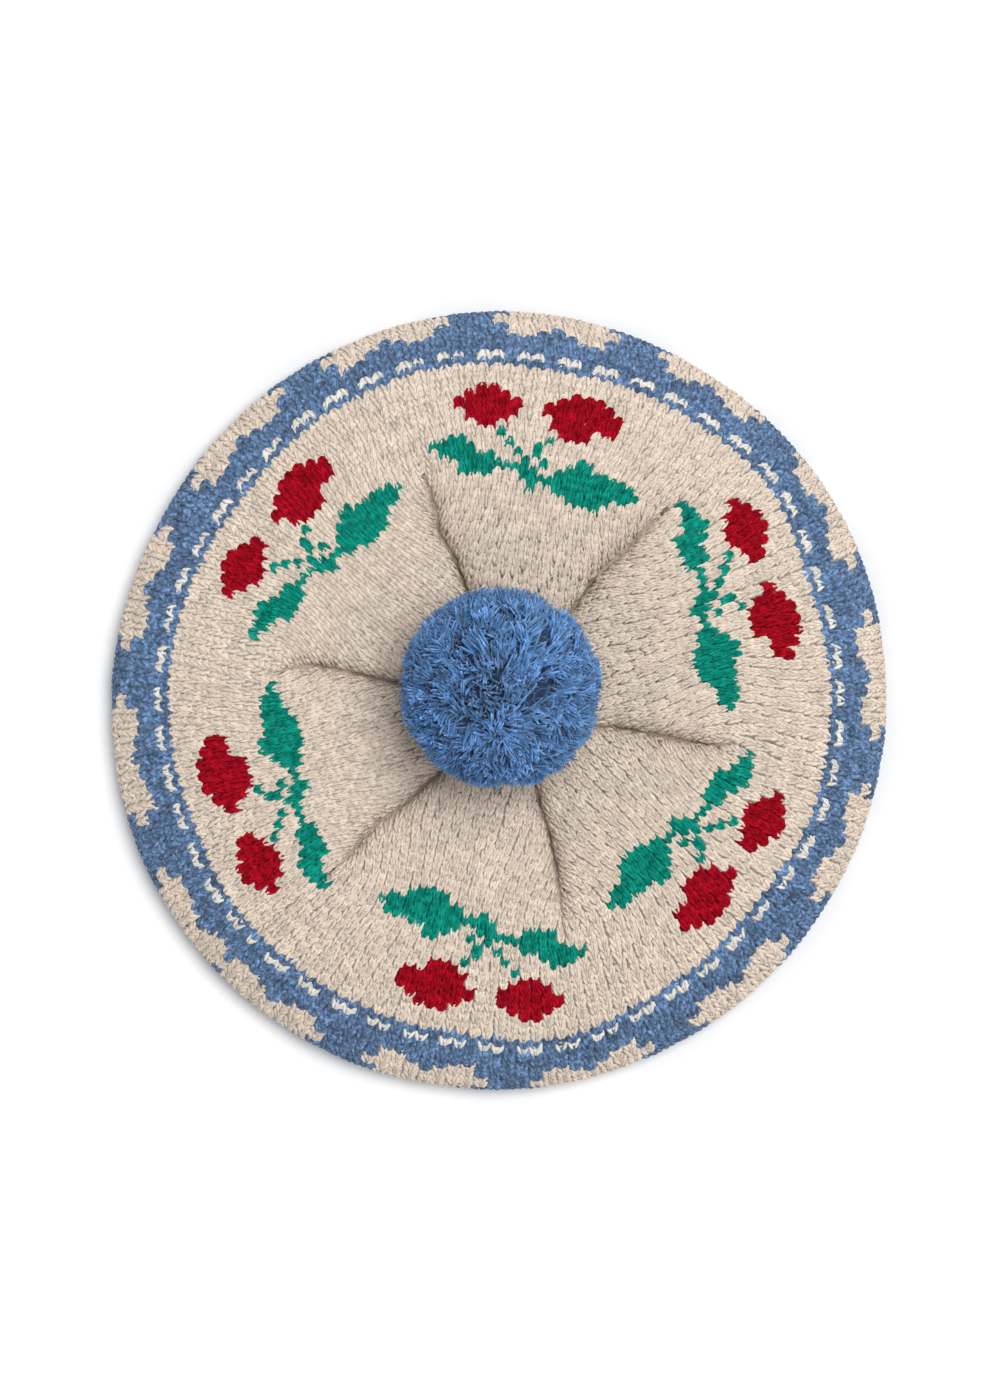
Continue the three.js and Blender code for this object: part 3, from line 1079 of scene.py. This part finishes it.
# Thin tubes along bows from their roots to their tips
def strandPoints(base, root, bend, tip):
    share = base["places"][None, :, 2:]
    spine = root[:, None] * (1 - share)**2 + 2 * bend[:, None] * share * (1 - share) + tip[:, None] * share**2
    aim = unit(tip - root)
    first = unit(np.cross(aim, unit(rng.standard_normal(root.shape))))
    second = np.cross(aim, first)
    thick = pompom["thickness"] * (1 + pompom["thickJitter"] * rng.standard_normal(len(root)))[:, None, None]
    across, deep = base["places"][:, :1], base["places"][:, 1:2]
    points = spine + thick * (across * first[:, None] + deep * second[:, None])
    points[..., 2] = np.maximum(points[..., 2], pompom["seat"] + pompom["clear"])
    return points


def makeStrands():
    base = makeStrandBase()
    outward = scattered(pompom["strands"], pompom["scatter"])
    outward = outward[outward[:, 2] > pompom["lowest"]]
    count = len(outward)
    parting = unit(np.array(pompom["parting"]))
    near = nearParting(outward, parting)
    tuftWays = scattered(pompom["tufts"], pompom["tuftScatter"])
    tuftLeans = np.array([noise.noise_vector(Vector(way) * pompom["tuftSize"])[:] for way in tuftWays])
    tuftLeans = pompom["tuft"] * tuftLeans + pompom["tuftLean"] * rng.standard_normal(tuftLeans.shape)
    tuftRises = np.clip(rng.standard_normal(pompom["tufts"]), -1.5, 1.5)
    mine = np.argmax(outward @ tuftWays.T, axis=1)
    gathered = outward + pompom["gather"] * (tuftWays[mine] - outward)
    tipWay = unit(gathered + (1 - near)[:, None] * tuftLeans[mine]
                  + pompom["jitter"] * rng.standard_normal((count, 3)))
    pulled = pompom["sweep"] + pompom["partingSweep"] * near
    swirl = pompom["partingSwirl"] * near[:, None] * np.cross(parting, outward)
    rootWay = unit(outward + (parting - outward) * pulled[:, None] + swirl)
    length = pompom["radius"] + pompom["ragged"] * rng.standard_normal(count) - pompom["partingDent"] * near
    length += pompom["lobes"] * tuftLeans[mine, 0] + pompom["tuftRise"] * tuftRises[mine]
    length = np.minimum(length, pompom["radius"] + pompom["longest"])
    rootRadius = pompom["root"] + pompom["partingRoot"] * near
    root = pompomMiddle + rootWay * rootRadius[:, None]
    bendRadius = (rootRadius + length) / 2 + pompom["bow"]
    bend = pompomMiddle + unit(rootWay + tipWay) * bendRadius[:, None]
    points = strandPoints(base, root, bend, pompomMiddle + tipWay * length[:, None])
    # Tufts that rise are painted lighter and sunken ones darker
    tones = pompom["tone"] * randomTones(count) + pompom["tuftLightAndShade"] * tuftRises[mine, None]
    # Painted light towards each strand's tip and painted shade towards its root
    tones = tones + pompom["tipLightRootShade"] * (base["places"][:, 2] - pompom["evenTone"])
    joinedPiece("pompom_strands", base, points, tones, materials["pompom"])


# Loose single fibres that stand out of the pompom's surface
def makeFuzz():
    base = makeStrandBase()
    outward = unit(rng.standard_normal((pompom["fibres"], 3)))
    outward = outward[outward[:, 2] > pompom["fibreLowest"]]
    count = len(outward)
    tipWay = unit(outward + pompom["fibreLean"] * rng.standard_normal((count, 3)))
    root = pompomMiddle + outward * (pompom["radius"] - pompom["fibreRoot"])
    tip = pompomMiddle + tipWay * (pompom["radius"] + pompom["fibreRise"] * rng.random((count, 1)))
    share = base["places"][None, :, 2:]
    bow = unit(rng.standard_normal((count, 3)))[:, None] * share * (1 - share) * pompom["fibreBow"]
    aside = base["places"] * [1, 1, 0]
    points = root[:, None] * (1 - share) + tip[:, None] * share + bow + aside * pompom["fibreWidth"]
    # Every fibre is painted lighter, as painted sheen on the fuzzy rim
    tones = np.full((count, 1), pompom["fibrePaintedSheen"])
    joinedPiece("pompom_fuzz", base, points, tones, materials["pompom"])


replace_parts(makeCore(), "pompom")
makeStrands()
makeFuzz()


# The tie: a short twisted stem with a flat knot inside the crown
tie = {
    "knotTop": 29.3,
    "knotDepth": 2.0,
    "knot": [(0.001, 1), (4.4, 0.9), (6.0, 0.5), (4.8, 0.1)],  # radius, and share of the knot's depth
    "stemRadius": 1.6,
    "stem": [29.9, 34, 39, 44.3],
    "stemTop": 44.5,
    "lobes": 3,
    "groove": 0.12,
    "twist": 0.6,
    "around": 24,
}


def makeTie():
    bm = bmesh.new()
    profile = [(radius, tie["knotTop"] - share * tie["knotDepth"]) for radius, share in tie["knot"]]
    profile += [(tie["stemRadius"], height) for height in tie["stem"]]
    profile.append((tie["knot"][0][0], tie["stemTop"]))
    verts = [bm.verts.new((radius, 0, height)) for radius, height in profile]
    edges = [bm.edges.new(pair) for pair in zip(verts, verts[1:])]
    bmesh.ops.spin(bm, geom=verts + edges, cent=(0, 0, 0), axis=(0, 0, 1), angle=2 * math.pi,
                   steps=tie["around"], use_merge=True)
    bmesh.ops.remove_doubles(bm, verts=bm.verts[:], dist=0.01)
    for vert in bm.verts:
        turn = math.atan2(vert.co.y, vert.co.x)
        groove = 1 - tie["groove"] * (1 - abs(math.cos(tie["lobes"] * turn / 2 + vert.co.z * tie["twist"])))
        vert.co = (vert.co.x * groove * mm, vert.co.y * groove * mm, vert.co.z * mm)
    bmesh.ops.recalc_face_normals(bm, faces=bm.faces[:])
    return pieceFrom(bm, "pompom_yarn_tie", [materials["pompom"]])


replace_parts(makeTie(), "pompom_tie")


# Pale floor and soft studio light
studio = {"floor": 3.0, "floorColour": (0.9, 0.9, 0.9, 1), "world": 0.54, "key": 2.2, "keyAngle": 32,
          "keyFrom": (0.28, 0.2, 1.0)}


def makeStudio():
    bm = bmesh.new()
    bmesh.ops.create_circle(bm, cap_ends=True, segments=64, radius=studio["floor"])
    mesh = bpy.data.meshes.new("floor")
    bm.to_mesh(mesh)
    bm.free()
    floor = bpy.data.objects.new("floor", mesh)
    scene.collection.objects.link(floor)
    paint = bpy.data.materials.new("white_floor")
    paint.use_nodes = True
    surface = paint.node_tree.nodes["Principled BSDF"]
    surface.inputs["Base Color"].default_value = studio["floorColour"]
    surface.inputs["Roughness"].default_value = 0.95
    surface.inputs["Specular IOR Level"].default_value = 0
    mesh.materials.append(paint)
    world = bpy.data.worlds.new("studio")
    world.use_nodes = True
    world.node_tree.nodes["Background"].inputs["Color"].default_value = (1, 1, 1, 1)
    world.node_tree.nodes["Background"].inputs["Strength"].default_value = studio["world"]
    scene.world = world
    sun = bpy.data.lights.new("key", "SUN")
    sun.energy = studio["key"]
    sun.angle = math.radians(studio["keyAngle"])
    key = bpy.data.objects.new("key", sun)
    key.rotation_euler = Vector(studio["keyFrom"]).to_track_quat("Z", "Y").to_euler()
    scene.collection.objects.link(key)
    scene.view_settings.view_transform = "Standard"


makeStudio()
print("studio made")
